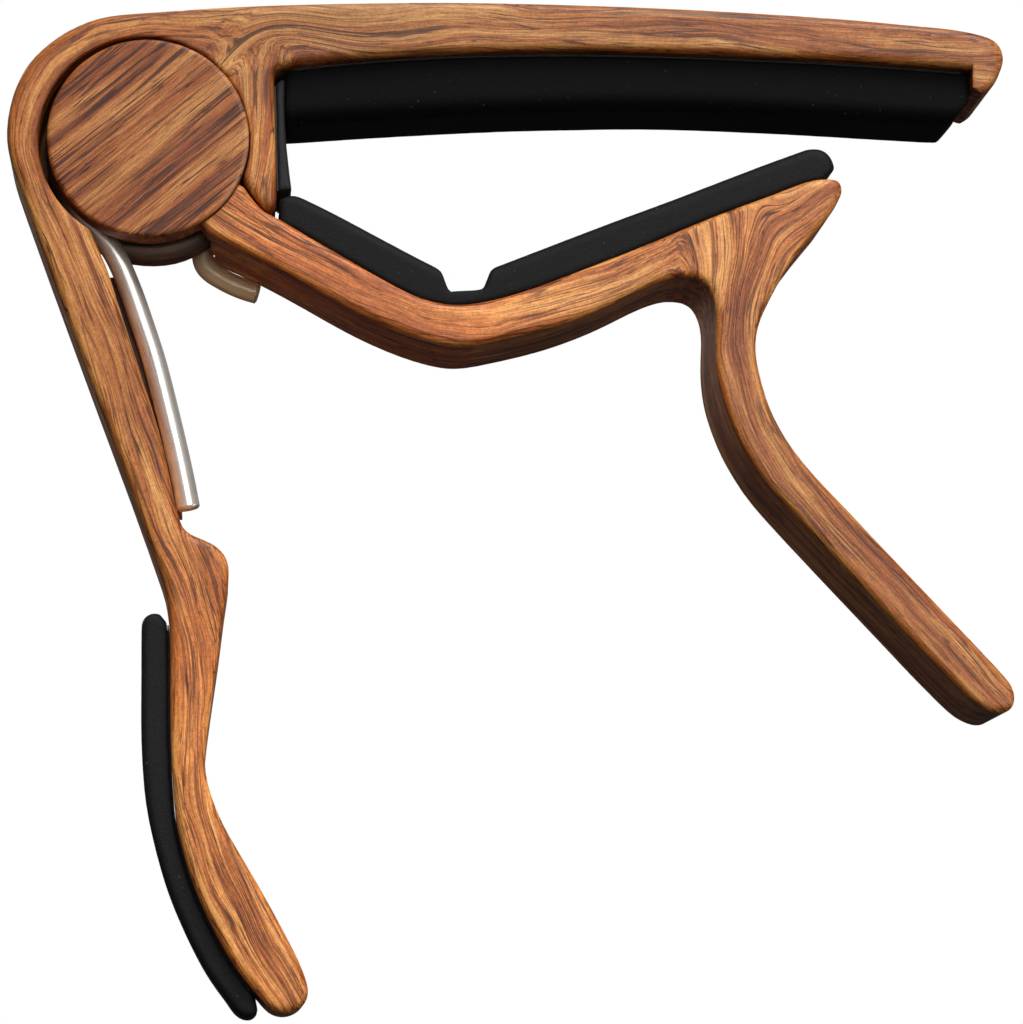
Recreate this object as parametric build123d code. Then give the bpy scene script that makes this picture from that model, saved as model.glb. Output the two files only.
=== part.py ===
from build123d import *
import math
import os

# Spring-loaded trigger capo for a guitar neck, in millimetres.
# The plan plane is XZ: X runs along the string bar, Z is up, and the pivot axis is X = Z = 0.
# Thickness runs along Y: the flat face of the rear pivot cap is Y = 0, the front faces -Y.
# Depths are measured from the levers' front face towards +Y. Plan tables hold (x, z) points.

# ---------------------------------------------------------------- sizes
body_t = 12.0            # thickness of both cast levers
back_cap_t = 1.7         # the rear cap stands this far behind the levers
front_cap_proud = 0.3    # the front cap stands this far in front of the levers
front_y = -back_cap_t - body_t

lid_r = 8.66             # front disc of the lower lever, and the front cap
lid_back = 3.0           # depth of the lid's inner face
cap_seat = 0.7           # the front cap is let this far into the lid
hub_r = 6.3              # hub carrying the spring
hub_end = 9.8            # depth of the hub's free end

rivet_r = 2.5
rivet_head_r = 3.8
rivet_head_t = 1.1
rivet_head_gap = 0.1     # around and in front of the head
rivet_tail_r = 3.5
rivet_tail_t = 0.8
bush_r = 3.6
run_gap = 0.03           # radial running clearance of the rivet
washer_r = 4.6
washer_t = 0.4
washer_gap = 0.04        # between the levers' back face and the washer
head_front = cap_seat + rivet_head_gap
head_back = head_front + rivet_head_t

wire_r = 0.95            # spring wire
wire_gap = 0.25          # clearance around the wire
coil_r = 8.15            # mean coil radius
coil_x, coil_z = 0.2, -0.6      # the preloaded coil sits off the pivot axis
coil_front = 4.0         # depth of the first turn
coil_pitch = 1.935
coil_start_deg, coil_end_deg = 222.0, -45.0 - 720.0

pad_inset = 1.4          # pads are this much narrower than the levers per side
tape_t = 0.18            # adhesive tape gap under the pads
tape_inset = 0.3         # tapes are this much narrower than the pads per side
pad_front, pad_back = pad_inset, body_t - pad_inset

cut_over = 1.0           # cutters overshoot the faces they break through
plane_tol = 1e-3


# ---------------------------------------------------------------- helpers
def depth_y(depth):
    return front_y + depth


def slab(face, front, back):
    """Extrude a plan face between two depths."""
    plane = Plane(origin=(0, depth_y(back), 0), x_dir=(1, 0, 0), z_dir=(0, -1, 0))
    return extrude(plane * face, amount=back - front, dir=(0, -1, 0))


def disc(radius, front, back):
    return slab(Circle(radius), front, back)


def ring(radius, bore_r, front, back):
    return disc(radius, front, back) - disc(bore_r, front - cut_over, back + cut_over)


def polar(radius, deg, centre=(0, 0)):
    angle = math.radians(deg)
    return (centre[0] + radius * math.cos(angle), centre[1] + radius * math.sin(angle))


def spline(points):
    return Edge.make_spline([Vector(x, z, 0) for x, z in points])


def line(start, end):
    return Edge.make_line(Vector(*start, 0), Vector(*end, 0))


def arc(radius, degs, centre=(0, 0)):
    """Arc through the points at three angles."""
    return Edge.make_three_point_arc(*[Vector(*polar(radius, deg, centre), 0) for deg in degs])


def closed_face(*chains):
    """Closed face: chains of one point are corners, longer ones are smooth curves."""
    edges = []
    for i, chain in enumerate(chains):
        following = chains[(i + 1) % len(chains)][0]
        if len(chain) > 1:
            edges.append(spline(chain))
        if math.dist(chain[-1], following) > 1e-6:
            edges.append(line(chain[-1], following))
    return Face(Wire(edges))


def offset_points(points, offset):
    """Points moved sideways, to the left of travel when the offset is positive."""
    moved = []
    for i, (x, z) in enumerate(points):
        before, after = points[max(i - 1, 0)], points[min(i + 1, len(points) - 1)]
        run_x, run_z = after[0] - before[0], after[1] - before[1]
        length = math.hypot(run_x, run_z)
        moved.append((x - run_z / length * offset, z + run_x / length * offset))
    return moved


def nearest(edge, point):
    """Parameter of the place on an outline edge nearest to a plan point."""
    step = 1.0 / 240
    tries = [i * step for i in range(241)]
    for _ in range(4):
        best = min(tries, key=lambda u: math.hypot((edge @ u).X - point[0],
                                                   (edge @ u).Y - point[1]))
        step /= 6
        tries = [min(1.0, max(0.0, best + k * step)) for k in range(-6, 7)]
    return best


def follow(edge, start, end, offset, steps):
    """Points along an outline edge between two places, moved to its left by the offset."""
    first, last = nearest(edge, start), nearest(edge, end)
    points = []
    for i in range(steps + 1):
        place = first + (last - first) * i / steps
        point, tangent = edge @ place, edge % place
        points.append((point.X - tangent.Y * offset, point.Y + tangent.X * offset))
    return points


def edges_at(solid, depths):
    """Edges lying flat on any of the depths."""
    found = []
    for edge in solid.edges():
        box = edge.bounding_box()
        for depth in depths:
            y = depth_y(depth)
            if abs(box.min.Y - y) < plane_tol and abs(box.max.Y - y) < plane_tol:
                found.append(edge)
    return found


def edges_back_to(solid, depth):
    """Edges whose rearmost point is at the depth."""
    return [edge for edge in solid.edges()
            if abs(edge.bounding_box().max.Y - depth_y(depth)) < plane_tol]


def rounded(solid, depths, radii, pick, min_share=0.8):
    """Round the edges on the depths whose midpoint is picked, by the first radius that works.

    The result must be valid and keep more than min_share of the volume.
    """
    for radius in radii:
        # The kernel may refuse a radius on these spline outlines; then the next one is tried.
        try:
            edges = [edge for edge in edges_at(solid, depths) if pick(edge @ 0.5)]
            result = fillet(edges, radius)
            if result.is_valid and result.volume > min_share * solid.volume:
                return result
        except Exception:
            pass
    return solid


def unwrap(shape):
    """The bare solid, where the shape holds just one."""
    return shape.solid() if len(shape.solids()) == 1 else shape


# ---------------------------------------------------------------- upper lever outline
# underside of the string bar, left to right
bar_seat = [
    (11.55, 6.62), (16.9, 7.33), (21.6, 7.80), (26.0, 8.12), (30.3, 8.32), (39.0, 8.52),
    (47.7, 8.45), (59.5, 8.14), (71.15, 7.52)]
# lip at the right end of the bar: inner corner, inner foot, toe, then its outer side
lip_corner = (71.7, 7.45)
lip_foot = (71.7, 5.75)
lip_toe = (72.6, 5.3)
lip_outer = [(73.55, 6.05), (74.2, 7.3), (74.5, 8.5), (74.0, 9.85), (72.4, 10.62)]
# top of the bar right to left, over the corner, down the left side of the squeeze arm
top_and_left = [
    (67.1, 11.3), (61.8, 11.70), (56.5, 12.0), (46.0, 12.42), (35.5, 12.62), (26.8, 12.62),
    (16.4, 12.33), (6.0, 11.76), (-0.8, 11.15), (-4.2, 10.65), (-6.15, 9.9), (-7.9, 8.85),
    (-9.25, 7.7), (-10.25, 6.55), (-11.0, 5.25), (-11.55, 3.85), (-11.9, 2.4), (-12.07, 0.9),
    (-12.03, -0.5), (-11.75, -1.9), (-11.3, -3.3), (-10.1, -6.6), (-8.14, -11.9),
    (-6.12, -17.25), (-4.12, -22.58), (-2.08, -27.89), (-0.11, -33.19), (1.1, -36.5),
    (1.95, -39.2)]
# seat of the grip pad, downwards
grip_seat = [
    (2.3, -42.1), (2.42, -46.8), (2.6, -53.3), (2.84, -56.46), (3.17, -59.06), (3.69, -61.2),
    (4.4, -63.45), (5.46, -66.0), (6.8, -68.65), (8.56, -71.45), (10.3, -73.5)]
arm_tip = [
    (11.1, -74.3), (12.1, -74.68), (13.15, -74.5), (13.95, -73.85), (14.25, -72.95),
    (14.05, -71.8)]
# right side of the squeeze arm, upwards
arm_right = [
    (13.5, -70.4), (12.54, -68.5), (11.35, -66.3), (8.97, -62.22), (7.7, -60.1),
    (6.63, -58.05), (5.92, -56.2), (5.52, -54.5), (5.45, -52.9), (5.65, -50.9), (6.06, -47.6),
    (6.5, -44.4), (6.86, -41.2), (7.2, -38.7), (7.28, -37.3), (7.02, -36.25), (6.45, -35.5),
    (5.7, -34.98), (4.83, -34.6), (4.05, -34.25), (3.45, -33.75), (3.08, -33.0), (2.77, -32.0),
    (2.32, -29.96), (1.79, -27.56), (1.08, -24.9), (-0.25, -20.85), (-1.22, -17.92),
    (-2.41, -14.29), (-3.6, -10.83), (-4.33, -9.25)]
# C-shaped band around the lid, from the squeeze arm over the top to the web
band_r = 9.1
band_centre = (-0.33, -0.13)    # off the pivot: the gap is widest on the left
band_arm_deg, band_top_deg, band_web_deg = -119.6, 107.25, -21.0
# web between the band and the bar's left end
web_foot = [(8.9, -4.62), (9.45, -5.35), (9.9, -5.85)]
web_toe = [(10.32, -6.02), (10.72, -5.88), (10.98, -5.55), (11.07, -5.1)]
web_corner = [(10.75, 5.75), (10.85, 6.15), (11.15, 6.45)]

band_arm_end = polar(band_r, band_arm_deg, band_centre)
band_web_end = polar(band_r, band_web_deg, band_centre)
bar_run = spline(bar_seat)
upper_run = spline([lip_toe] + lip_outer + top_and_left + grip_seat + arm_tip + arm_right
                   + [band_arm_end])

# ---------------------------------------------------------------- lower lever outline
# V-shaped seat for the neck pad, left to right
neck_seat = [
    (10.14, -6.28), (11.6, -7.02), (13.1, -7.91), (15.2, -9.12), (17.4, -10.38),
    (20.0, -11.85), (22.2, -13.0), (24.1, -13.75), (25.9, -14.08), (27.8, -14.03),
    (29.9, -13.62), (33.3, -12.55), (36.7, -11.22), (43.0, -8.62), (50.6, -5.35), (54.6, -3.8)]
flare = [(59.0, -2.55), (59.8, -2.75), (60.1, -3.45), (59.85, -4.35), (59.2, -5.5)]
# right side of the handle, downwards
handle_right = [
    (58.2, -6.75), (57.1, -8.1), (56.05, -9.5), (55.1, -10.85), (54.3, -12.15), (53.6, -13.5),
    (52.95, -14.9), (52.55, -16.3), (52.45, -17.6), (52.58, -18.9), (52.85, -20.2),
    (53.2, -21.5), (53.65, -22.8), (54.3, -24.2), (55.1, -25.6), (56.05, -26.95),
    (57.2, -28.35), (59.07, -30.37), (63.93, -35.52), (68.6, -40.45), (72.0, -44.05)]
handle_tip = [
    (73.56, -45.75), (74.3, -46.8), (74.5, -47.75), (74.2, -48.6), (73.35, -49.02),
    (72.3, -48.85), (71.4, -48.4)]
# left side of the handle upwards, then the underside of the arm to the root
handle_left = [
    (69.95, -47.18), (64.85, -41.9), (59.85, -36.6), (57.37, -33.95), (54.92, -31.29),
    (53.71, -29.9), (52.67, -28.55), (51.8, -27.2), (51.03, -25.85), (50.4, -24.5),
    (49.88, -23.15), (49.45, -21.8), (49.15, -20.45), (48.98, -19.1), (48.92, -17.8),
    (48.95, -16.5), (49.0, -15.2), (48.9, -13.85), (48.5, -12.6), (47.9, -11.85),
    (46.9, -11.48), (45.4, -11.52), (43.63, -12.1), (41.84, -12.97), (40.05, -13.9),
    (38.26, -14.72), (36.48, -15.43), (34.7, -16.04), (32.92, -16.55), (31.14, -17.0),
    (29.37, -17.4), (27.9, -17.66), (26.5, -17.72), (25.1, -17.52), (23.4, -17.08),
    (21.4, -16.38), (18.28, -15.0), (14.32, -12.85), (11.5, -11.3), (8.75, -9.92),
    (6.68, -8.95)]
root_low_outer, root_low_inner = (5.2, -8.2), (4.2, -6.7)
root_high_inner, root_high_outer = (7.3, -3.5), (8.3, -4.12)
root_top = [(8.72, -4.72), (9.35, -5.52)]

lower_outline = neck_seat + flare + handle_right + handle_tip + handle_left + [root_low_outer]
lower_run = spline(lower_outline)

# ---------------------------------------------------------------- spring path
# straight leg along the squeeze arm, upwards
leg_points = [
    (3.83, -31.7), (3.3, -29.1), (2.5, -25.6), (1.62, -22.1), (0.69, -18.65), (-0.35, -15.5),
    (-1.5, -12.3), (-2.5, -10.0), (-3.55, -8.35), (-4.75, -7.1)]
leg_start_deg = 101.5    # heading of the leg's free end
hook_straight = 0.93     # hooked leg: straight length, bend radius, heading after the bend
hook_r = 1.8
hook_out_deg = 325.0
hook_tip = (9.75, -11.62)


def heading(deg):
    """Direction in the plan plane."""
    x, z = polar(1, deg)
    return Vector(x, 0, z)


def coil_point(deg, depth):
    x, z = polar(coil_r, deg, (coil_x, coil_z))
    return Vector(x, depth_y(depth), z)


coil_rise = (coil_start_deg - coil_end_deg) / 360.0 * coil_pitch
coil_back = coil_front + coil_rise
leg_edge = Edge.make_spline(
    [Vector(x, depth_y(coil_front), z) for x, z in leg_points]
    + [coil_point(coil_start_deg, coil_front)],
    tangents=[heading(leg_start_deg), heading(coil_start_deg - 90)])
coil_plane = Plane(origin=(coil_x, depth_y(coil_front), coil_z), z_dir=(0, 1, 0),
                   x_dir=tuple(heading(coil_start_deg)))
coil_edge = Edge.make_helix(coil_pitch, coil_rise, coil_r).moved(coil_plane.location)

# hooked leg: a short straight, a tight bend, a long bend under the lower arm
hook_in_deg = (coil_end_deg - 90) % 360
hook_start = coil_point(coil_end_deg, coil_back)
bend_start = hook_start + heading(hook_in_deg) * hook_straight
bend_centre = bend_start + heading(hook_in_deg + 90) * hook_r
bend_mid = bend_centre + heading((hook_in_deg + hook_out_deg) / 2 - 90) * hook_r
bend_end = bend_centre + heading(hook_out_deg - 90) * hook_r
hook_end = Vector(hook_tip[0], depth_y(coil_back), hook_tip[1])
hook_line = Edge.make_line(hook_start, bend_start)
tight_bend = Edge.make_three_point_arc(bend_start, bend_mid, bend_end)
long_bend = Edge.make_tangent_arc(bend_end, heading(hook_out_deg), hook_end)


def make_spring():
    path = Wire([leg_edge, coil_edge, hook_line, tight_bend, long_bend])
    profile = Plane(origin=path @ 0, z_dir=path % 0) * Circle(wire_r)
    return sweep(profile, path=path, transition=Transition.TRANSFORMED)


# ---------------------------------------------------------------- upper lever
def make_upper_lever():
    pocket_r = 9.75          # spring pocket behind the band's front lip
    floor_r = 8.6            # pocket floor where the band is open
    floor_front = body_t - 1.7
    sector_inner_r, sector_outer_r = 5.0, 10.6   # floor under the band
    sector_over_deg = 3      # the sector shifts this far past each band end
    ledge_inset = 0.8        # from the levers' back face
    # ledge behind the spring's straight leg: left side upwards, right side downwards
    ledge_left = [
        (2.0, -31.5), (1.4, -29.4), (0.9, -27.2), (0.2, -24.6), (-1.1, -20.6), (-2.1, -17.7),
        (-3.3, -14.1), (-4.2, -11.2)]
    ledge_right = [
        (-2.15, -11.2), (-1.0, -14.1), (0.3, -17.7), (1.2, -20.6), (2.15, -24.6),
        (2.75, -27.2), (3.1, -29.4), (3.25, -31.5)]

    def on_band(mid):
        return abs(math.dist((mid.X, mid.Z), band_centre) - band_r) < 0.02

    def on_seat(mid):
        """Underside of the bar and inner faces of the end lip, which stay crisp."""
        under_bar = 13 < mid.X < 71 and 7.0 < mid.Z < 9.0
        in_lip = 71.2 < mid.X < 72.3 and mid.Z < 7.6
        return under_bar or in_lip

    outline = Face(Wire([
        bar_run,
        line(bar_seat[-1], lip_corner),
        line(lip_corner, lip_foot),
        line(lip_foot, lip_toe),
        upper_run,
        arc(band_r, (band_arm_deg, band_top_deg, band_web_deg), band_centre),
        spline([band_web_end] + web_foot),
        spline([web_foot[-1]] + web_toe),
        line(web_toe[-1], web_corner[0]),
        spline(web_corner + [bar_seat[0]]),
    ]))
    lever = slab(outline, 0, body_t)
    lever = rounded(lever, [0, body_t], [0.7, 0.6, 0.5],
                    lambda mid: not on_band(mid) and not on_seat(mid))
    lever = rounded(lever, [0, body_t], [0.25, 0.15], on_band)
    lever = lever + slab(closed_face(ledge_left, ledge_right),
                         coil_front + wire_r + wire_gap, body_t - ledge_inset)
    lever = lever - disc(pocket_r, lid_back, floor_front)

    # pocket floor: a full disc, widened by a sector under the band
    arm_deg, web_deg = band_arm_deg - sector_over_deg, band_web_deg + sector_over_deg
    sector = Face(Wire([
        arc(sector_outer_r, (arm_deg, band_top_deg, web_deg)),
        line(polar(sector_outer_r, web_deg), polar(sector_inner_r, web_deg)),
        arc(sector_inner_r, (web_deg, band_top_deg, arm_deg)),
        line(polar(sector_inner_r, arm_deg), polar(sector_outer_r, arm_deg)),
    ]))
    floor = disc(floor_r, floor_front, body_t) + slab(sector, floor_front, body_t)
    lever = lever + floor
    lever = lever - disc(bush_r, floor_front - cut_over, body_t + cut_over)
    bush = ring(bush_r, rivet_r + run_gap, floor_front, body_t)
    return unwrap(lever), bush


# ---------------------------------------------------------------- lower lever
def hook_slot():
    """Cutter that lets the hooked leg out through the arm's root."""
    half_width = wire_r + wire_gap
    middle = [coil_edge @ 0.965, coil_edge @ 0.985, hook_line @ 0.0]
    middle += [tight_bend @ (i / 4) for i in range(5)]
    middle += [long_bend @ (i / 4) for i in range(1, 4)]
    middle = [(point.X, point.Z) for point in middle]
    left, right = offset_points(middle, half_width), offset_points(middle, -half_width)
    return slab(closed_face(left, right[::-1]), coil_back - half_width, coil_back + half_width)


def make_lower_lever():
    root_r = 9.95            # inner radius of the arm root behind the lid
    cap_gap = 0.14           # around the front cap
    sharp_r = 8.0            # edges nearer the pivot stay sharp
    hub_overlap = 0.5        # the hub starts this far inside the lid

    outline = closed_face([root_high_outer] + root_top + [neck_seat[0]], lower_outline,
                          [root_low_inner], [root_high_inner])
    arm = slab(outline, 0, body_t)
    arm = rounded(arm, [0, body_t], [0.6, 0.5],
                  lambda mid: mid.X ** 2 + mid.Z ** 2 > sharp_r ** 2)
    # clear the spring and pocket floor, then the front cap
    arm = arm - disc(root_r, lid_back, body_t + cut_over)
    arm = arm - disc(lid_r + cap_gap, -cut_over, cap_seat)
    lid = disc(lid_r, cap_seat, lid_back)
    hub = disc(hub_r, lid_back - hub_overlap, hub_end)
    lever = arm + lid + hub
    lever = lever - disc(rivet_r, 0, body_t)
    lever = lever - disc(rivet_head_r + rivet_head_gap, 0, head_back)
    lever = lever - hook_slot()
    return unwrap(lever)


# ---------------------------------------------------------------- pivot pieces
def make_rivet():
    tail_front = body_t + 0.05 + washer_t
    tail_back = tail_front + rivet_tail_t
    shank_overlap = 0.1
    rivet = (disc(rivet_head_r, head_front, head_back)
             + disc(rivet_r, head_back - 2 * shank_overlap, hub_end)
             + disc(rivet_r, hub_end - shank_overlap, tail_front + shank_overlap)
             + disc(rivet_tail_r, tail_front, tail_back))
    rim = [edge for edge in edges_back_to(rivet, tail_back)
           if edge.bounding_box().max.X > rivet_tail_r - 0.1]
    return fillet(rim, 0.35)


def make_back_washer():
    front = body_t + washer_gap
    return ring(washer_r, rivet_r + run_gap, front, front + washer_t)


def make_thrust_washer():
    front = hub_end + 0.02
    bore_gap = 0.25
    return ring(6.0, rivet_r + bore_gap, front, front + 0.45)


def make_front_cap():
    cap = disc(lid_r, -front_cap_proud, cap_seat)
    rim = [edge for edge in cap.edges()
           if abs(edge.bounding_box().min.Y - depth_y(-front_cap_proud)) < plane_tol]
    return fillet(rim, 0.3)


def make_back_cap():
    """Shallow cup, open to the front."""
    outer_r, recess_r, wall_t = 7.6, 5.3, 0.35
    back = body_t + back_cap_t
    cap = disc(outer_r, body_t, back) - disc(recess_r, body_t - cut_over, back - wall_t)
    return fillet(edges_back_to(cap, back), 0.4)


# ---------------------------------------------------------------- pads and tapes
def pad(face, radius, pick):
    """Pad with its picked edges rounded, by a smaller radius if need be."""
    return rounded(slab(face, pad_front, pad_back), [pad_front, pad_back],
                   [radius, 0.8 * radius, 0.6 * radius], pick, min_share=0)


def tape_slab(face):
    return slab(face, pad_front + tape_inset, pad_back - tape_inset)


def tape(edge, start, end, side, steps):
    """Thin strip along an outline edge; side is +1 for its left, -1 for its right."""
    near = follow(edge, start, end, side * 0.03, steps)
    far = follow(edge, start, end, side * (tape_t - 0.02), steps)
    return tape_slab(closed_face(near, far[::-1]))


def make_string_pad():
    right_end = [(71.62, 7.2), (71.6, 4.9)]
    # underside, right to left
    underside = [
        (70.0, 2.95), (65.3, 3.08), (58.0, 3.38), (50.8, 3.62), (43.6, 3.68), (36.5, 3.5),
        (29.3, 3.15), (22.2, 2.68), (11.88, 1.84)]
    seat = follow(bar_run, (11.95, 6.7), (71.1, 7.53), -tape_t, 16)
    face = closed_face(seat, *[[corner] for corner in right_end], underside)
    return pad(face, 1.6, lambda mid: mid.Z < 4.0 and 13 < mid.X < 69)


def make_edge_pad():
    """Small upright pad on the right side of the web."""
    left = [(11.28, -4.2), (10.98, 5.35)]
    top_corner = [(10.98, 5.35), (11.45, 5.75)]
    right = [(11.75, 5.75), (11.82, 1.0), (12.03, -1.2), (12.38, -4.0)]
    return pad(closed_face(left, top_corner, right), 0.3, lambda mid: mid.X > 11.6)


def make_edge_tape():
    return tape_slab(closed_face([(11.10, -4.05), (10.80, 5.2)], [(10.96, 5.2), (11.26, -4.05)]))


def make_neck_pad():
    # right end, then the top from right to left with its notch, then the left end
    right_end = [(59.72, -1.3), (59.5, -0.45), (58.8, 0.32), (57.9, 0.5), (57.0, 0.33)]
    top_right = [
        (57.0, 0.33), (53.06, -1.18), (46.2, -3.95), (39.3, -6.7), (32.3, -9.48),
        (30.0, -10.42)]
    notch = [(29.6, -10.8), (28.95, -12.5), (26.0, -12.75), (25.35, -10.95)]
    top_left = [(24.9, -10.55), (20.65, -8.35), (15.8, -5.78), (13.3, -4.6)]
    left_end = [(12.5, -4.4), (11.8, -4.9)]

    def on_top(mid):
        """The two sloping top runs, either side of the notch."""
        on_right = abs(mid.X - 43.0) < 4 and mid.Z > -8 and mid.Z > -0.45 * (43 - mid.X) - 6.5
        on_left = abs(mid.X - 19.3) < 2 and mid.Z > -9
        return on_right or on_left

    seat = follow(lower_run, (11.75, -7.1), (58.4, -2.48), tape_t, 22)
    face = closed_face(seat, right_end, top_right, *[[corner] for corner in notch],
                       top_left, *[[corner] for corner in left_end])
    return pad(face, 0.8, on_top)


def make_grip_pad():
    # bottom end, then the left side upwards and the top end
    left_side = [
        (10.1, -74.45), (9.4, -75.0), (8.6, -74.8), (7.5, -73.55), (6.55, -72.3),
        (5.0, -69.85), (3.73, -67.3), (2.62, -64.7), (1.7, -62.0), (0.98, -59.3),
        (0.5, -56.9), (0.22, -54.2), (0.08, -51.4), (0.0, -46.4), (-0.05, -42.4),
        (0.15, -41.35), (0.75, -40.92), (1.5, -40.95)]
    seat = follow(upper_run, (2.28, -41.7), (10.0, -73.15), -tape_t, 16)
    return pad(closed_face(seat, left_side), 0.8, lambda mid: mid.X < 1.5 or mid.Z < -60)


# ---------------------------------------------------------------- build and export
upper_lever, pivot_bush = make_upper_lever()
parts = {
    "upper_lever": upper_lever,
    "lower_lever": make_lower_lever(),
    "front_cap": make_front_cap(),
    "back_cap": make_back_cap(),
    "pivot_rivet": make_rivet(),
    "pivot_bush": pivot_bush,
    "back_washer": make_back_washer(),
    "thrust_washer": make_thrust_washer(),
    "torsion_spring": make_spring(),
    "string_pad": make_string_pad(),
    "edge_pad": make_edge_pad(),
    "neck_pad": make_neck_pad(),
    "grip_pad": make_grip_pad(),
    "string_pad_tape": tape(bar_run, (12.5, 6.77), (70.9, 7.55), side=-1, steps=16),
    "edge_pad_tape": make_edge_tape(),
    "neck_pad_tape": tape(lower_run, (11.95, -7.2), (56.0, -3.1), side=1, steps=40),
    "grip_pad_tape": tape(upper_run, (2.29, -41.9), (9.8, -72.9), side=-1, steps=16),
}
os.makedirs("parts", exist_ok=True)
for name, shape in parts.items():
    export_step(shape, f"parts/{name}.step")
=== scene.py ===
# A spring clamp for the neck of a string instrument: two wood-print levers turn on a rivet,
# held by a torsion spring and faced with rubber pads.
# The pivot axis runs along Y through the origin; the front faces -Y, +X is right, +Z is up.
import bpy
import bmesh
import math
import numpy as np
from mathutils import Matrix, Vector, noise


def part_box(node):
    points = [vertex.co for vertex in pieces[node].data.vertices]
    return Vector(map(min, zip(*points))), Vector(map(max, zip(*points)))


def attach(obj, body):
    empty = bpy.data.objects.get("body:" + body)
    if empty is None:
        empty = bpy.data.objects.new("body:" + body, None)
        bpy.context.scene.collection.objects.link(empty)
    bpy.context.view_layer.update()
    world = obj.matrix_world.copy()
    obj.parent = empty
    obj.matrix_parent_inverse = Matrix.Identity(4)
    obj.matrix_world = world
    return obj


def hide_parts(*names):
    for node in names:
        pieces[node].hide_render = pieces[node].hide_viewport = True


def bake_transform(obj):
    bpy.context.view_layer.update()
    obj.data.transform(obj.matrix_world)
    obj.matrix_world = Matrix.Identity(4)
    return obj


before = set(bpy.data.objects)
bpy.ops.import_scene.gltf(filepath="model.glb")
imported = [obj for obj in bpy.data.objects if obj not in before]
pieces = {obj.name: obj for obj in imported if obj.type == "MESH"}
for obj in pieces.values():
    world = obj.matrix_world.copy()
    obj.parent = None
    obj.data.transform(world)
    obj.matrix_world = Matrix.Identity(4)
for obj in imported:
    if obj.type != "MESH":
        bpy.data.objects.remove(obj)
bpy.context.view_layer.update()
scene = bpy.context.scene
MM = 0.001


def add_object(name, data):
    piece = bpy.data.objects.new(name, data)
    scene.collection.objects.link(piece)
    return piece


# ------------------------------------------------------------------ node building
def operator(kind, swapped=False):
    def apply(self, other):
        pair = (other, self) if swapped else (self, other)
        return self.net.math(kind, *pair)
    return apply


class Value:
    """An output socket that can be used in plain arithmetic."""

    def __init__(self, net, socket):
        self.net = net
        self.socket = socket

    __add__ = operator("ADD")
    __radd__ = operator("ADD", swapped=True)
    __sub__ = operator("SUBTRACT")
    __rsub__ = operator("SUBTRACT", swapped=True)
    __mul__ = operator("MULTIPLY")
    __rmul__ = operator("MULTIPLY", swapped=True)
    __truediv__ = operator("DIVIDE")


class Graph:
    """The node tree of a material or world, emptied and ready to fill."""

    def __init__(self, owner):
        owner.use_nodes = True
        self.owner = owner
        self.tree = owner.node_tree
        self.tree.nodes.clear()

    def put(self, socket, value):
        """Link a Value, or set a number or an RGB colour; None leaves the socket alone."""
        if isinstance(value, Value):
            self.tree.links.new(value.socket, socket)
        elif isinstance(value, tuple):
            socket.default_value = (*value, 1.0)
        elif value is not None:
            socket.default_value = value

    def add(self, kind, inputs=None, output=0, **props):
        """Add a node, fill its inputs and return one of its outputs."""
        node = self.tree.nodes.new(kind)
        for name, value in props.items():
            setattr(node, name, value)
        for key, value in (inputs or {}).items():
            self.put(node.inputs[key], value)
        return Value(self, node.outputs[output])

    def math(self, kind, *args):
        return self.add("ShaderNodeMath", dict(enumerate(args)), operation=kind)

    def vec(self, *xyz):
        return self.add("ShaderNodeCombineXYZ", dict(enumerate(xyz)))

    def xyz(self, vector):
        node = self.add("ShaderNodeSeparateXYZ", {0: vector}).socket.node
        return [Value(self, output) for output in node.outputs]

    def object_mm(self):
        """Object coordinates in millimetres."""
        point = self.add("ShaderNodeTexCoord", output="Object")
        return [axis * 1000.0 for axis in self.xyz(point)]

    def noise(self, point, scale=1.0, detail=2.0, roughness=0.5):
        return self.add("ShaderNodeTexNoise", {
            "Vector": point, "Scale": scale, "Detail": detail, "Roughness": roughness})

    def step(self, value, start, end):
        """Smooth step from 0 to 1 as the value goes from start to end."""
        return self.add("ShaderNodeMapRange", {0: value, 1: start, 2: end},
                        interpolation_type="SMOOTHSTEP")

    def ramp(self, value, stops):
        result = self.add("ShaderNodeValToRGB", {0: value})
        elements = result.socket.node.color_ramp.elements
        while len(elements) < len(stops):
            elements.new(0.5)
        for element, (position, color) in zip(elements, stops):
            element.position = position
            element.color = (*color, 1.0)
        return result

    def mix(self, factor, low, high, blend="MIX"):
        # inputs 6 and 7 and output 2 are the colour sockets of the Mix node
        return self.add("ShaderNodeMix", {0: factor, 6: low, 7: high}, output=2,
                        data_type="RGBA", blend_type=blend)

    def bump(self, height, distance, strength, normal=None):
        return self.add("ShaderNodeBump", {
            "Strength": strength, "Distance": distance, "Height": height, "Normal": normal})

    def bevel(self, radius):
        return self.add("ShaderNodeBevel", {"Radius": radius}, samples=4)

    def principled(self, inputs):
        return self.add("ShaderNodeBsdfPrincipled", inputs)

    def finish(self, shader, kind="ShaderNodeOutputMaterial"):
        output = self.tree.nodes.new(kind)
        self.put(output.inputs[0], shader)
        return self.owner


def new_material(name):
    return Graph(bpy.data.materials.new(name))


def srgb(*rgb):
    """sRGB 0..255 to linear."""
    def linear(c):
        return c / 12.92 if c <= 0.04045 else ((c + 0.055) / 1.055) ** 2.4
    return tuple(linear(c / 255.0) for c in rgb)


def scaled(color, *factors):
    return tuple(c * k for c, k in zip(color, factors))


# ------------------------------------------------------------------ wood print
GRAIN_REACH = 3.4  # mm over which a strand segment steers the grain


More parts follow.
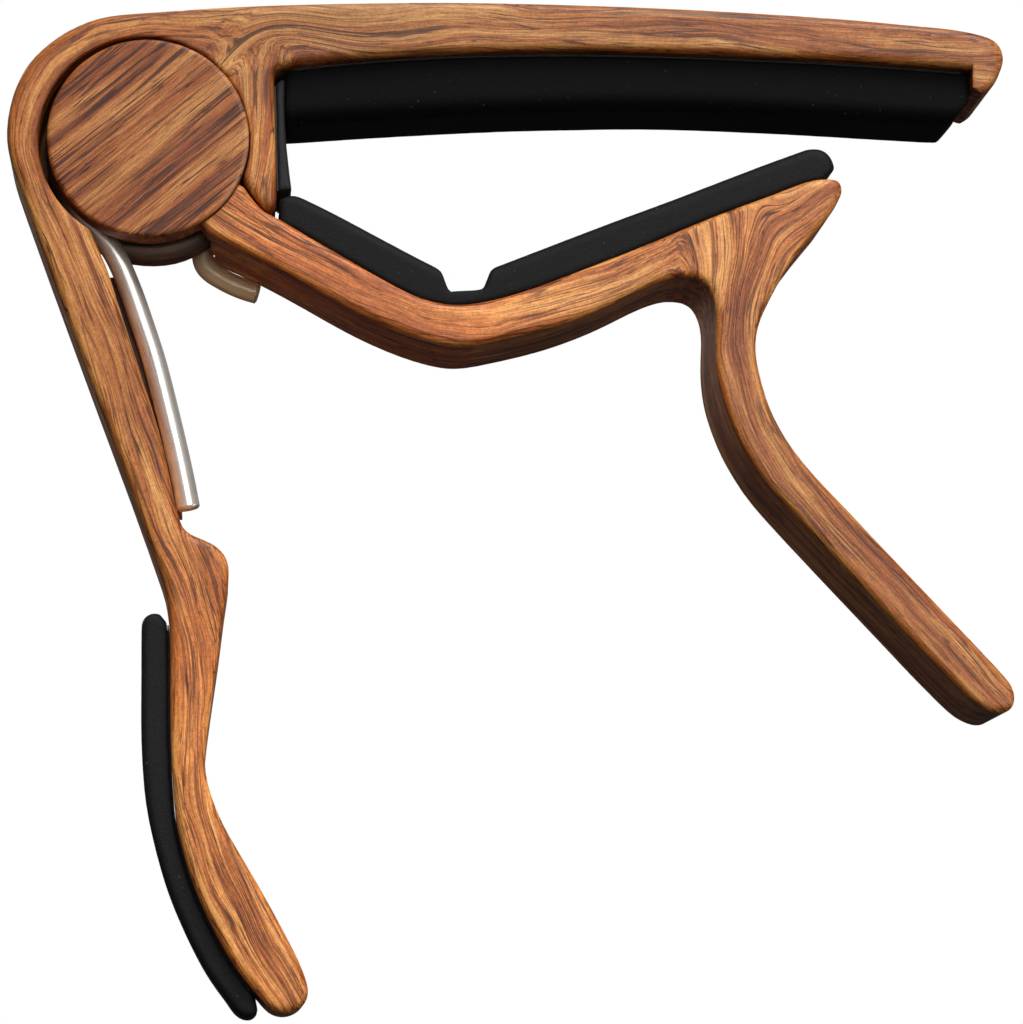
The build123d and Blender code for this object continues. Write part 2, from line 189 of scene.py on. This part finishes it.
def flow(net, x, z, strands):
    """Coordinates along and across the grain, following chains of plan points (mm)."""
    along_sum = across_sum = 0.0
    weight_sum = 1e-30
    for points, run, offset in strands:
        for (ax, az), (bx, bz) in zip(points[:-1], points[1:]):
            length = math.hypot(bx - ax, bz - az)
            dx = (bx - ax) / length
            dz = (bz - az) / length
            along = x * dx + (z * dz - (ax * dx + az * dz))
            across = x * (-dz) + (z * dx - (-ax * dz + az * dx))
            inside = net.math("MINIMUM", net.math("MAXIMUM", along, 0.0), length)
            beyond = along - inside
            distance2 = net.math("MULTIPLY_ADD", beyond, beyond, across * across)
            weight = net.math("EXPONENT", distance2 * (-1.0 / GRAIN_REACH ** 2))
            along_sum = net.math("MULTIPLY_ADD", weight, along + run, along_sum)
            across_sum = net.math("MULTIPLY_ADD", weight, across + offset, across_sum)
            weight_sum = weight + weight_sum
            run += length
    return along_sum / weight_sum, across_sum / weight_sum


def wood_streaks(net, grain, plain, shift, fine_tone, long_fibre, line_start, strength):
    """Mask of dark streaks: broken bands and thin lines of changing width."""
    along, across, depth = grain
    broad = net.noise(net.vec(along * 0.042 + 3.1 + shift, across * 1.55, depth * 1.1),
                      detail=3.0, roughness=0.55)
    narrow = net.noise(net.vec(along * 0.09 + 7.7, across * 3.3 + shift, depth * 2.4))
    patches = net.noise(net.vec(along * 0.11 + shift, plain * 0.22, depth * 0.3 + 4.0))
    gate = net.step(patches, 0.36, 0.6)
    broad = net.step(broad, line_start, line_start + 0.045) * (0.45 + 0.55 * gate)
    narrow = net.step(narrow, 0.60, 0.67) * gate * 0.85
    # thin lines run where a noise crosses its middle value
    line = net.noise(net.vec(along * 0.06 + 1.3, across * 2.6 - shift, depth * 2.0), detail=1.0)
    line = (net.step(net.math("ABSOLUTE", line - 0.5), 0.030, 0.008)
            * net.step(patches, 0.36, 0.54))
    wide_line = net.noise(net.vec(along * 0.045 + 9.1, across * 1.3 + shift, depth * 1.2),
                          detail=1.0)
    wide_line = (net.step(net.math("ABSOLUTE", wide_line - 0.49), 0.026, 0.007)
                 * net.step(fine_tone, 0.62, 0.46))
    bands = net.math("MAXIMUM", broad, narrow)
    lines = net.math("MAXIMUM", line, wide_line) * 0.95
    dark = net.math("MAXIMUM", bands, lines) * strength
    return dark * (0.55 + 0.45 * net.step(long_fibre, 0.35, 0.6))


def ledge_shade(net, col, x, y, z):
    """Painted shade: darken the set-back, front-facing ledge behind the straight spring leg, a
    recess where shade falls.
    """
    normal = net.add("ShaderNodeNewGeometry", output="Normal")
    normal_y = net.xyz(normal)[1]
    shade = (net.step(y, -9.2, -8.7) * net.step(normal_y, -0.5, -0.8)
             * net.step(z, -33.5, -32.5) * net.step(z, -10.0, -11.5) * net.step(x, 4.6, 3.8))
    return net.mix(shade * 0.7, col, srgb(40, 20, 12))


def wood(name, seed, strands=None, turn=0.0, light=1.0, streak=1.0, line_start=0.605,
         wear_and_highlight=0.3, red=0.0, sway=1.0, painted_light_spots=(), rim=False, ledge=False):
    """Printed wood. The grain follows the strands, or lies straight at `turn` degrees.

    Soft lighter or darker spots, each (x, z, radius in mm, added brightness): painted light and
    painted shade.
    """
    net = new_material(name)
    x, y, z = net.object_mm()
    if strands:
        along, plain = flow(net, x, z, strands)
    else:
        angle = math.radians(turn)
        along = x * math.cos(angle) + z * math.sin(angle)
        plain = z * math.cos(angle) - x * math.sin(angle)
    shift = seed * 17.3
    # slow waves of the grain
    wave = net.noise(net.vec(along * 0.045 + shift, plain * 0.16, y * 0.12))
    ripple = net.noise(net.vec(along * 0.16 + shift, plain * 0.5, y * 0.4 + shift))
    across = plain + (wave - 0.5) * (3.2 * sway) + (ripple - 0.5) * (0.55 * sway)
    depth = y * 0.75
    # broad tones
    tone = net.noise(net.vec(along * 0.028 + shift, across * 0.42, depth * 0.35),
                     detail=3.0, roughness=0.55)
    fine_tone = net.noise(net.vec(along * 0.05 - shift, across * 1.15, depth * 0.9),
                          detail=3.0, roughness=0.6)
    col = net.ramp(net.step(tone * 0.5 + fine_tone * 0.5, 0.36, 0.62), [
        (0.0, srgb(136, 75, 38)), (0.3, srgb(163, 97, 50)),
        (0.6, srgb(186, 118, 64)), (1.0, srgb(217, 154, 94))])
    # fibres, light and dark, long and thin
    long_fibre = net.noise(net.vec(along * 0.22 + shift, across * 5.5, depth * 4.0),
                           detail=3.0, roughness=0.65)
    short_fibre = net.noise(net.vec(along * 0.85, across * 9.0 + shift, depth * 8.0),
                            roughness=0.6)
    fibre = net.step(long_fibre * 0.6 + short_fibre * 0.4, 0.3, 0.7)
    col = net.mix(fibre * 0.70, col, net.mix(1.0, col, srgb(255, 232, 200), "SOFT_LIGHT"))
    col = net.mix((1.0 - fibre) * 0.72, col,
                  net.mix(1.0, col, (0.46, 0.34, 0.24), "MULTIPLY"))
    dark = wood_streaks(net, (along, across, depth), plain, shift, fine_tone, long_fibre,
                        line_start, streak)
    streak_col = net.mix(net.step(tone, 0.4, 0.6), srgb(56, 24, 12), srgb(84, 40, 18))
    col = net.mix(net.math("MINIMUM", dark, 0.92), col, streak_col)
    # pores: short dark dashes
    pore = net.noise(net.vec(along * 0.75 + shift, across * 6.5, depth * 6.0 + shift),
                     detail=1.0)
    pore = net.step(pore, 0.64, 0.70) * net.step(fine_tone, 0.62, 0.45)
    col = net.mix(pore * 0.7, col, srgb(70, 32, 14))
    # printed dots, very fine speckle
    speck = net.noise(net.vec(x * 5.0, y * 5.0, z * 5.0), roughness=0.7)
    speck_col = net.ramp(speck, [(0.3, (0.30, 0.26, 0.22)), (0.7, (0.86, 0.84, 0.80))])
    col = net.mix(0.42, col, net.mix(1.0, col, speck_col, "OVERLAY"))
    if red:
        col = net.mix(red, col, net.mix(1.0, col, srgb(232, 176, 150), "MULTIPLY"))
    # painted light and shade: brighten or darken round each given spot
    gain = x * 0.0 + light
    for spot_x, spot_z, radius, strength in painted_light_spots:
        dx = x - spot_x
        dz = z - spot_z
        falloff = net.math("EXPONENT", (dx * dx + dz * dz) * (-1.0 / radius ** 2))
        gain = net.math("MULTIPLY_ADD", falloff, strength, gain)
    col = net.add("ShaderNodeHueSaturation", {"Value": gain, "Color": col})
    # painted shade on the recessed ledge behind the straight spring leg
    if ledge:
        col = ledge_shade(net, col, x, y, z)
    # edges: a soft roll of the lacquer, lighter where the print has thinned; partly wear, partly
    # a painted highlight
    bevel = net.bevel(0.00045)
    normal = net.add("ShaderNodeNewGeometry", output="Normal")
    facing = net.add("ShaderNodeVectorMath", {0: bevel, 1: normal}, output="Value",
                     operation="DOT_PRODUCT")
    edge = net.step(facing, 0.985, 0.90)
    rub = net.noise(net.vec(x * 0.35 + shift, y * 0.35, z * 0.35), detail=4.0, roughness=0.6)
    # lighter edge colour: part wear of the print, part painted highlight
    col = net.mix(edge * net.step(rub, 0.42, 0.62) * wear_and_highlight, col, srgb(196, 140, 88))
    if rim:
        # painted highlight: lacquer caught by the light along the right side of the rim
        lit = edge * net.step(x, 4.5, 7.0) * net.step(z, -7.0, -4.0) * 0.75
        col = net.mix(lit, col, srgb(232, 204, 178))
    roughness = 0.36 + (1.0 - fibre) * 0.10 + (rub - 0.5) * 0.16 + dark * 0.06
    relief = fibre * 0.5 - dark * 0.8 - pore * 0.6 + speck * 0.25
    return net.finish(net.principled({
        "Base Color": col, "Roughness": roughness,
        "Normal": net.bump(relief, distance=0.00002, strength=0.55, normal=bevel),
        "Specular IOR Level": 0.32, "Coat Weight": 0.06, "Coat Roughness": 0.30}))


# Centre lines that steer the grain, as (x, z) in mm.
BAR_LINE = [
    (80.0, 9.2), (66.0, 10.0), (50.0, 10.9), (32.0, 11.2), (14.0, 10.7), (4.0, 10.6),
    (-2.4, 10.0), (-6.8, 8.0), (-9.6, 4.9), (-10.7, 1.0), (-10.2, -3.4), (-7.2, -11.6),
    (-3.2, -22.3), (0.9, -33.2), (3.4, -40.5), (4.2, -47.5), (4.3, -54.0), (6.0, -60.5),
    (9.3, -67.5), (14.2, -76.0)]
WEB_LINE = [(10.8, 7.0), (10.6, 5.5), (10.2, 0.5), (9.6, -6.5)]
VEE_LINE = [
    (5.0, -5.0), (9.6, -8.3), (16.0, -12.0), (21.5, -14.8), (26.5, -15.9), (31.5, -15.2),
    (38.0, -12.9), (43.5, -10.6)]
FAN_LINE = [(51.2, -3.6), (51.3, -8.0), (51.0, -12.5)]
HANDLE_LINE = [
    (60.3, -2.2), (56.3, -5.6), (52.8, -10.2), (51.0, -15.0), (51.2, -20.5), (53.6, -26.8),
    (58.2, -32.6), (65.0, -40.0), (75.5, -51.0)]
# Strands: centre line, grain length at its start, offset across the grain (mm).
UPPER_STRANDS = [(BAR_LINE, 0.0, 0.0), (WEB_LINE, 40.0, 3.2)]
LOWER_STRANDS = [(VEE_LINE, 0.0, -2.7), (FAN_LINE, 60.5, 2.5), (HANDLE_LINE, 55.0, 2.5)]
# Soft spots of painted light and painted shade: x, z, radius (mm), added brightness.
UPPER_PAINTED_LIGHT = [
    (10.2, -0.5, 5.0, 0.22), (4.0, -50.0, 16.0, 0.60), (13.0, -70.0, 9.0, 0.45),
    (16.0, 12.0, 12.0, -0.30), (42.0, 11.0, 14.0, -0.20), (68.0, 9.0, 14.0, -0.20)]
LOWER_PAINTED_LIGHT = [
    (12.0, -9.5, 7.0, 0.65), (26.0, -15.5, 10.0, 0.60), (40.0, -12.0, 8.0, 0.15),
    (51.5, -7.0, 8.0, 0.28)]

upper_wood = wood("wood_print_upper", seed=1.0, strands=UPPER_STRANDS, light=1.04, wear_and_highlight=0.25,
                  painted_light_spots=UPPER_PAINTED_LIGHT, ledge=True)
lower_wood = wood("wood_print_lower", seed=4.0, strands=LOWER_STRANDS, light=0.98, streak=0.95,
                  wear_and_highlight=0.35, red=0.06, painted_light_spots=LOWER_PAINTED_LIGHT)
# the cap carries a painted highlight along the right side of its rim
cap_wood = wood("wood_print_cap", seed=9.0, turn=41.0, light=0.88, streak=1.25,
                line_start=0.59, red=0.18, sway=0.28, rim=True)
back_cap_wood = wood("wood_print_back_cap", seed=12.0, turn=-24.0)


# ------------------------------------------------------------------ metals and plastics
def metal(name, tint, roughness, marks="ring", tarnish=0.25):
    """Metal with turned rings, marks stretched through the thickness, or drawn-wire lines."""
    net = new_material(name)
    x, y, z = net.object_mm()
    wire = marks == "wire"
    if wire:
        # the "wire" attribute holds the run along the wire (mm) and the place around it
        run, around_a, around_b = net.xyz(
            net.add("ShaderNodeAttribute", output="Vector", attribute_name="wire"))
        lines = net.noise(net.vec(run * 0.25, around_a * 9.0, around_b * 9.0),
                          detail=3.0, roughness=0.65)
    else:
        if marks == "ring":
            radius = net.math("SQRT", x * x + z * z)
            point = net.vec(radius * 6.0, y * 6.0, 0.0)
        else:
            point = net.vec(x * 6.0, y * 0.4, z * 6.0)
        lines = net.noise(point, detail=3.0, roughness=0.6)
    cloud = net.noise(net.vec(x * 0.45, y * 0.45, z * 0.45), detail=4.0, roughness=0.6)
    col = net.mix(net.step(cloud, 0.35, 0.75) * tarnish, tint, scaled(tint, 0.62, 0.52, 0.40))
    col = net.mix(net.step(lines, 0.55, 0.8) * 0.35, col, scaled(tint, 0.5, 0.5, 0.5))
    roughness = roughness + (lines - 0.5) * 0.18 + (cloud - 0.5) * 0.14
    if wire:
        # bright plating on the straight leg; the coil painted darker and browner as shade, with
        # a duller skin; the hook a pale tan, partly its own duller skin and partly painted light
        coil = net.step(run, 26.0, 31.0) * net.step(run, 172.0, 166.0)
        hook = net.step(run, 166.0, 172.0)
        # painted shade: darker brown colour for the coil under the cap
        painted_coil_shade = net.mix(net.step(lines, 0.4, 0.65), srgb(92, 66, 50), srgb(128, 96, 74))
        col = net.mix(coil * 0.93, col, painted_coil_shade)
        # hook lifted to a pale tan: part its own skin, part painted light
        col = net.mix(hook * 0.85, col, srgb(255, 220, 168))
        roughness = roughness + coil * 0.26 + hook * 0.06
        metallic = 0.74 - hook * 0.55 - coil * 0.10
    else:
        metallic = x * 0.0 + 1.0
    return net.finish(net.principled({
        "Base Color": col, "Metallic": metallic, "Roughness": roughness,
        "Normal": net.bump(lines, distance=0.000012, strength=0.6)}))


def plastic(name, dark, pale, roughness):
    net = new_material(name)
    point = net.vec(*net.object_mm())
    cloud = net.noise(point, scale=0.6, detail=4.0, roughness=0.6)
    grain = net.noise(point, scale=7.0, roughness=0.6)
    return net.finish(net.principled({
        "Base Color": net.mix(cloud, dark, pale),
        "Roughness": roughness + (grain - 0.5) * 0.15,
        "Normal": net.bump(grain, distance=0.00001, strength=0.6)}))


def rubber(name, seed, base, roughness, specular):
    """Moulded rubber: mottled, gritty and lightly dusted; base is sRGB 0..255."""
    net = new_material(name)
    x, y, z = net.object_mm()
    point = net.vec(x + seed, y, z)
    mottle = net.noise(point, scale=0.55, detail=4.0, roughness=0.6)
    cells = net.add("ShaderNodeTexVoronoi", {"Vector": point, "Scale": 4.2},
                    output="Distance", feature="SMOOTH_F1")
    grit = net.noise(point, scale=7.5, detail=3.0, roughness=0.7)
    dust = net.noise(point, scale=2.6, detail=1.0)
    middle = srgb(*base)
    dark = scaled(middle, 0.62, 0.62, 0.62)
    pale = scaled(middle, 1.75, 1.75, 1.75)
    grit_gain = 1.0  # overall strength of the pale grit
    col = net.mix(net.step(mottle, 0.3, 0.7), dark, middle)
    col = net.mix(net.step(grit, 0.50, 0.72) * 0.55 * grit_gain, col, pale)
    col = net.mix(net.step(dust, 0.735, 0.78) * 0.5, col, srgb(78, 78, 80))
    relief = cells * 0.5 + grit * 0.9
    return net.finish(net.principled({
        "Base Color": col,
        "Roughness": roughness + (grit - 0.5) * 0.22 + (mottle - 0.5) * 0.12,
        "Normal": net.bump(relief, distance=0.00005, strength=0.8, normal=net.bevel(0.00035)),
        "Specular IOR Level": specular, "Sheen Weight": 0.02, "Sheen Roughness": 0.5}))


spring_mat = metal("spring_wire_plated", tint=(0.92, 0.88, 0.82), roughness=0.30,
                   marks="wire", tarnish=0.3)
rivet_mat = metal("rivet_turned_steel", tint=(0.60, 0.59, 0.57), roughness=0.32)
washer_mat = metal("washer_stamped_steel", tint=(0.66, 0.65, 0.63), roughness=0.30,
                   marks="flat")
bush_mat = metal("bush_turned_brass", tint=(0.78, 0.58, 0.27), roughness=0.28)
thrust_mat = plastic("thrust_washer_plastic", dark=(0.62, 0.61, 0.56),
                     pale=(0.74, 0.73, 0.68), roughness=0.5)
tape_mat = plastic("adhesive_tape", dark=(0.008, 0.008, 0.008), pale=(0.02, 0.02, 0.02),
                   roughness=0.6)


# ------------------------------------------------------------------ carried-over CAD pieces
for piece_name, material in {
    "upper_lever": upper_wood, "lower_lever": lower_wood,
    "front_cap": cap_wood, "back_cap": back_cap_wood,
    "pivot_rivet": rivet_mat, "pivot_bush": bush_mat,
    "back_washer": washer_mat, "thrust_washer": thrust_mat,
    "string_pad_tape": tape_mat, "edge_pad_tape": tape_mat,
    "neck_pad_tape": tape_mat, "grip_pad_tape": tape_mat,
}.items():
    slots = pieces[piece_name].data.materials
    slots.clear()
    slots.append(material)


# ------------------------------------------------------------------ rubber pads
def face_outward(mesh, weld=False):
    edit = bmesh.new()
    edit.from_mesh(mesh)
    if weld:
        bmesh.ops.remove_doubles(edit, verts=edit.verts, dist=1e-7)
    bmesh.ops.recalc_face_normals(edit, faces=edit.faces)
    edit.to_mesh(mesh)
    edit.free()


def soften(mesh, low, high, relax, lump, seed, left):
    """Round the edges and make the faces uneven, keeping inside the CAD box.

    left: mm by which the leftmost skin is then pushed out past the box.
    """
    swell = 0.01  # mm, makes up for the shrinkage of smoothing
    edit = bmesh.new()
    edit.from_mesh(mesh)
    for _ in range(relax):
        bmesh.ops.smooth_vert(edit, verts=edit.verts, factor=0.5,
                              use_axis_x=True, use_axis_y=True, use_axis_z=True)
    edit.normal_update()
    for vert in edit.verts:
        p = vert.co * 1000.0
        lift = noise.noise(Vector((p.x * 0.11 + seed, p.y * 0.18, p.z * 0.11))) * lump
        lift += noise.noise(Vector((p.x * 0.9 + seed, p.y * 0.9, p.z * 0.9))) * 0.008
        vert.co += vert.normal * (lift + swell) * MM
        for k in range(3):
            vert.co[k] = min(max(vert.co[k], low[k]), high[k])
        near_left = (low[0] + 0.8 * MM - vert.co.x) / (0.7 * MM)
        vert.co.x -= left * MM * max(0.0, min(1.0, near_left))
    edit.to_mesh(mesh)
    edit.free()


def rubber_pad(node, body, material, seed, voxel=0.19, relax=3, lump=0.05, left=0.0):
    """The pad's solid as moulded rubber: one even skin, soft edges, faces never quite flat."""
    source = pieces[node]
    solid = source.data.copy()
    pad = add_object(f"{node}_rubber", solid)
    solid.transform(source.matrix_world)
    low, high = (np.array(c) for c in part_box(node))
    face_outward(solid, weld=True)
    remesh = pad.modifiers.new("skin", "REMESH")
    remesh.mode = "VOXEL"
    remesh.voxel_size = voxel * MM * 1.0
    remesh.use_smooth_shade = True
    depsgraph = bpy.context.evaluated_depsgraph_get()
    skin = bpy.data.meshes.new_from_object(pad.evaluated_get(depsgraph))
    pad.modifiers.clear()
    pad.data = skin
    soften(skin, low, high, relax, lump, seed, left)
    skin.shade_smooth()
    skin.materials.clear()
    skin.materials.append(material)
    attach(pad, body)
    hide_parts(node)


rubber_pad(
    "string_pad", "upper_body", seed=1.0, left=0.13,
    material=rubber("rubber_string", seed=0.0, base=(4, 4, 6), roughness=0.74, specular=0.12))
rubber_pad(
    "edge_pad", "upper_body", seed=5.0, voxel=0.12, relax=4, lump=0.02,
    material=rubber("rubber_edge", seed=31.0, base=(24, 25, 28), roughness=0.6, specular=0.35))
rubber_pad(
    "neck_pad", "lower_body", seed=9.0, left=0.45,
    material=rubber("rubber_neck", seed=57.0, base=(12, 12, 14), roughness=0.64, specular=0.22))
rubber_pad(
    "grip_pad", "upper_body", seed=14.0, voxel=0.17,
    material=rubber("rubber_grip", seed=83.0, base=(19, 19, 21), roughness=0.68, specular=0.30))


# ------------------------------------------------------------------ torsion spring
# Lengths in mm, angles in degrees counted from +X towards +Z.
COIL_X, COIL_Z, COIL_RADIUS = 0.2, -0.6, 8.15
COIL_START, COIL_END = 222.0, -765.0
COIL_TURNS = (COIL_START - COIL_END) / 360.0
COIL_PITCH = 1.935
LEG_Y = -13.7 + 4.0  # front reference plane plus the depth of the straight leg
HOOK_Y = LEG_Y + COIL_TURNS * COIL_PITCH
HOOK_STRAIGHT = 0.93
HOOK_RADIUS = 1.8
HOOK_HEADING = 325.0  # heading of the wire after the tight bend
HOOK_TIP = (9.75, -11.62)
WIRE_RADIUS = 0.95
LEG_EXTRA = 0.06  # added radius on the straight leg
WIRE_SIDES = 28
# Rounded wire end: distance in from the end (mm), share of the wire radius.
END_TAPER = [(0.02, 0.55), (0.05, 0.80), (0.14, 0.93), (0.26, 1.0)]
# Straight leg from its free end up to the coil, as (x, z).
LEG = [
    (3.83, -31.7), (3.3, -29.1), (2.5, -25.6), (1.62, -22.1), (0.69, -18.65),
    (-0.35, -15.5), (-1.5, -12.3), (-2.5, -10.0), (-3.55, -8.35), (-4.75, -7.1)]
# Knot pairs blended at each level of the spline's pyramid.
SPLINE_LEVELS = [[(0, 1), (1, 2), (2, 3)], [(0, 2), (1, 3)], [(1, 2)]]


def spline(stations, steps):
    """Centripetal curve through the stations."""
    points = [np.array(p, float) for p in stations]
    points = [2 * points[0] - points[1]] + points + [2 * points[-1] - points[-2]]
    curve = []
    for i in range(1, len(points) - 2):
        four = points[i - 1:i + 3]
        knots = [0.0]
        for near, far in zip(four, four[1:]):
            knots.append(knots[-1] + max(np.linalg.norm(far - near), 1e-9) ** 0.5)
        for k in range(steps):
            here = knots[1] + (knots[2] - knots[1]) * k / steps
            row = four
            for level in SPLINE_LEVELS:
                spans = [(knots[first], knots[last]) for first, last in level]
                row = [(end - here) / (end - start) * near + (here - start) / (end - start) * far
                       for (start, end), near, far in zip(spans, row, row[1:])]
            curve.append(row[0])
    curve.append(points[-2])
    return np.array(curve)


def direction(degrees):
    return math.cos(math.radians(degrees)), math.sin(math.radians(degrees))


def arc(start, heading, sweep, radius):
    """Four (x, z) points of an arc that leaves `start` along `heading`."""
    side_x, side_z = direction(heading + 90)
    x = start[0] + side_x * radius
    z = start[1] + side_z * radius
    spokes = [direction(heading - 90 + sweep * k / 4) for k in range(1, 5)]
    return [(x + out_x * radius, z + out_z * radius) for out_x, out_z in spokes]


def spring_path():
    stations = [(x, LEG_Y, z) for x, z in LEG]
    count = int(COIL_TURNS * 9)
    for i in range(count + 1):
        out_x, out_z = direction(COIL_START + (COIL_END - COIL_START) * i / count)
        stations.append((COIL_X + COIL_RADIUS * out_x,
                         LEG_Y + COIL_TURNS * COIL_PITCH * i / count,
                         COIL_Z + COIL_RADIUS * out_z))
    # hook: a short straight, a tight bend, then a wide arc to the tip
    heading = (COIL_END - 90) % 360
    dx, dz = direction(heading)
    bend_start = (stations[-1][0] + dx * HOOK_STRAIGHT, stations[-1][2] + dz * HOOK_STRAIGHT)
    hook = [bend_start] + arc(bend_start, heading, HOOK_HEADING - heading, HOOK_RADIUS)
    dx = HOOK_TIP[0] - hook[-1][0]
    dz = HOOK_TIP[1] - hook[-1][1]
    half = math.degrees(math.atan2(dz, dx)) % 360 - HOOK_HEADING
    wide_radius = math.hypot(dx, dz) / (2 * math.sin(math.radians(half)))
    hook += arc(hook[-1], HOOK_HEADING, 2 * half, wide_radius)
    stations += [(x, HOOK_Y, z) for x, z in hook]
    return spline(stations, steps=7)


def sweep_wire(path):
    """Vertices around the path, with (run, cos, sin) of each for the wire texture."""
    tangents = np.gradient(path, axis=0)
    tangents /= np.linalg.norm(tangents, axis=1)[:, None]
    normal = np.cross(tangents[0], [0, 1, 0])
    run = 0.0
    verts, marks = [], []
    for i, (point, tangent) in enumerate(zip(path, tangents)):
        normal = normal - tangent * np.dot(normal, tangent)
        normal /= np.linalg.norm(normal)
        binormal = np.cross(tangent, normal)
        rings = [(0.0, 1.0)]
        if i:
            run += float(np.linalg.norm(point - path[i - 1]))
        else:
            rings = END_TAPER
        if i == len(path) - 1:
            rings = [(-inset, share) for inset, share in END_TAPER[::-1]]
        on_leg = max(0.0, min(1.0, (24.0 - run) / 6.0))
        for offset, share in rings:
            for j in range(WIRE_SIDES):
                a = 2 * math.pi * j / WIRE_SIDES
                outward = normal * math.cos(a) + binormal * math.sin(a)
                uneven = 1.0 + 0.004 * math.sin(run * 0.7 + 2 * a)
                radius = (WIRE_RADIUS + LEG_EXTRA * on_leg) * share * uneven
                verts.append(tuple((point + tangent * offset + outward * radius) * MM))
                marks.append((run + offset, math.cos(a), math.sin(a)))
    return verts, marks


def torsion_spring():
    verts, marks = sweep_wire(spring_path())
    sides = WIRE_SIDES
    faces = []
    for first in range(0, len(verts) - sides, sides):
        for j in range(sides):
            a = first + j
            b = first + (j + 1) % sides
            faces.append((a, b, b + sides, a + sides))
    faces.append(tuple(range(sides))[::-1])
    faces.append(tuple(range(len(verts) - sides, len(verts))))
    mesh = bpy.data.meshes.new("torsion_spring_wire")
    mesh.from_pydata(verts, [], faces)
    mesh.update()
    face_outward(mesh)
    mesh.shade_smooth()
    wire = mesh.attributes.new("wire", "FLOAT_VECTOR", "POINT")
    wire.data.foreach_set("vector", np.array(marks, np.float32).ravel())
    mesh.materials.append(spring_mat)
    spring = add_object("torsion_spring_wire", mesh)
    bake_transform(spring)
    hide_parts("torsion_spring")


torsion_spring()


# ------------------------------------------------------------------ floor, light, camera
# Metres from here on.
def floor_material():
    """Pale grey near the product, fading to plain white further out."""
    net = new_material("floor_pale")
    x, y, _ = net.xyz(net.add("ShaderNodeTexCoord", output="Object"))
    far = net.step(net.math("SQRT", x * x + y * y), 0.16, 0.62)
    grit = net.noise(net.vec(x * 60.0, y * 60.0, 0.0), detail=3.0)
    col = net.mix(grit, (0.80, 0.80, 0.80), (0.84, 0.84, 0.84))
    near = net.principled({"Base Color": col, "Roughness": 0.8, "Specular IOR Level": 0.1})
    white = net.add("ShaderNodeEmission", {"Color": (1.0, 1.0, 1.0), "Strength": 1.0})
    return net.finish(net.add("ShaderNodeMixShader", {0: far, 1: near, 2: white}))


def studio_floor():
    """A disc of rings, each 1.32 times wider than the last."""
    rings, sides = 26, 96
    verts = [(0, 0, 0)]
    for i in range(1, rings + 1):
        radius = 0.05 * (1.32 ** i)
        for j in range(sides):
            a = 2 * math.pi * j / sides
            verts.append((radius * math.cos(a), radius * math.sin(a), 0))
    faces = [(0, 1 + j, 1 + (j + 1) % sides) for j in range(sides)]
    for i in range(rings - 1):
        for j in range(sides):
            a = 1 + i * sides + j
            b = 1 + i * sides + (j + 1) % sides
            faces.append((a, a + sides, b + sides, b))
    mesh = bpy.data.meshes.new("floor")
    mesh.from_pydata(verts, [], faces)
    floor = add_object("floor", mesh)
    floor.location = (0.03, 0.0, -0.118)
    mesh.materials.append(floor_material())
    floor.visible_diffuse = False
    floor.visible_glossy = False


def studio_world():
    """White to the camera; a soft grey sky, darker below, to everything else."""
    scene.world = bpy.data.worlds.new("studio")
    net = Graph(scene.world)
    height = net.xyz(net.add("ShaderNodeTexCoord", output="Generated"))[2]
    height = net.add("ShaderNodeMapRange", {0: height, 1: -1.0, 2: 1.0})
    sky = net.ramp(height, [
        (0.0, (0.06, 0.055, 0.05)), (0.48, (0.17, 0.165, 0.16)),
        (0.62, (0.50, 0.50, 0.50)), (1.0, (0.75, 0.75, 0.76))])
    to_camera = net.add("ShaderNodeLightPath", output="Is Camera Ray")
    soft = net.add("ShaderNodeBackground", {"Color": sky, "Strength": 0.30})
    white = net.add("ShaderNodeBackground", {"Color": (1.0, 1.0, 1.0), "Strength": 1.0})
    net.finish(net.add("ShaderNodeMixShader", {0: to_camera, 1: soft, 2: white}),
               kind="ShaderNodeOutputWorld")


def place(piece, location, target):
    """Put a light or camera in place, looking at the target."""
    piece.location = location
    piece.rotation_mode = "QUATERNION"
    view = Vector(target) - Vector(location)
    piece.rotation_quaternion = view.to_track_quat("-Z", "Y")


LIGHT_TARGET = (0.031, -0.007, -0.032)


def area(name, location, size, power, color=(1, 1, 1), size_y=None):
    light = bpy.data.lights.new(name, "AREA")
    light.energy = power
    light.color = color
    light.shape = "RECTANGLE"
    light.size = size
    light.size_y = size_y or size
    lamp = add_object(name, light)
    place(lamp, location, LIGHT_TARGET)
    lamp.visible_camera = False
    return lamp


def studio_camera():
    lens = bpy.data.cameras.new("camera")
    camera = add_object("camera", lens)
    lens.sensor_width = 36.0
    lens.lens = 147.85664
    lens.clip_start = 0.01
    lens.clip_end = 50.0
    place(camera, location=(0.00584, -0.3677, -0.08444), target=(0.0313, -0.0137, -0.03214))
    scene.camera = camera


studio_floor()
studio_world()
area("key_top", location=(0.14, -0.36, 0.50), size=0.30, power=3.3)
area("front_fill", location=(0.20, -0.62, 0.10), size=0.45, power=1.9)
area("right_strip", location=(0.52, -0.20, -0.20), size=0.10, size_y=0.40, power=0.65,
     color=(1.0, 0.90, 0.80))
area("left_soft", location=(-0.55, 0.1, 0.15), size=0.3, power=0.03)
back_light = area("back_soft", location=(-0.1, 0.6, 0.25), size=0.5, power=3.6)
back_light.visible_glossy = False
studio_camera()
scene.view_settings.view_transform = "Standard"
scene.view_settings.look = "None"
scene.view_settings.exposure = 0.0
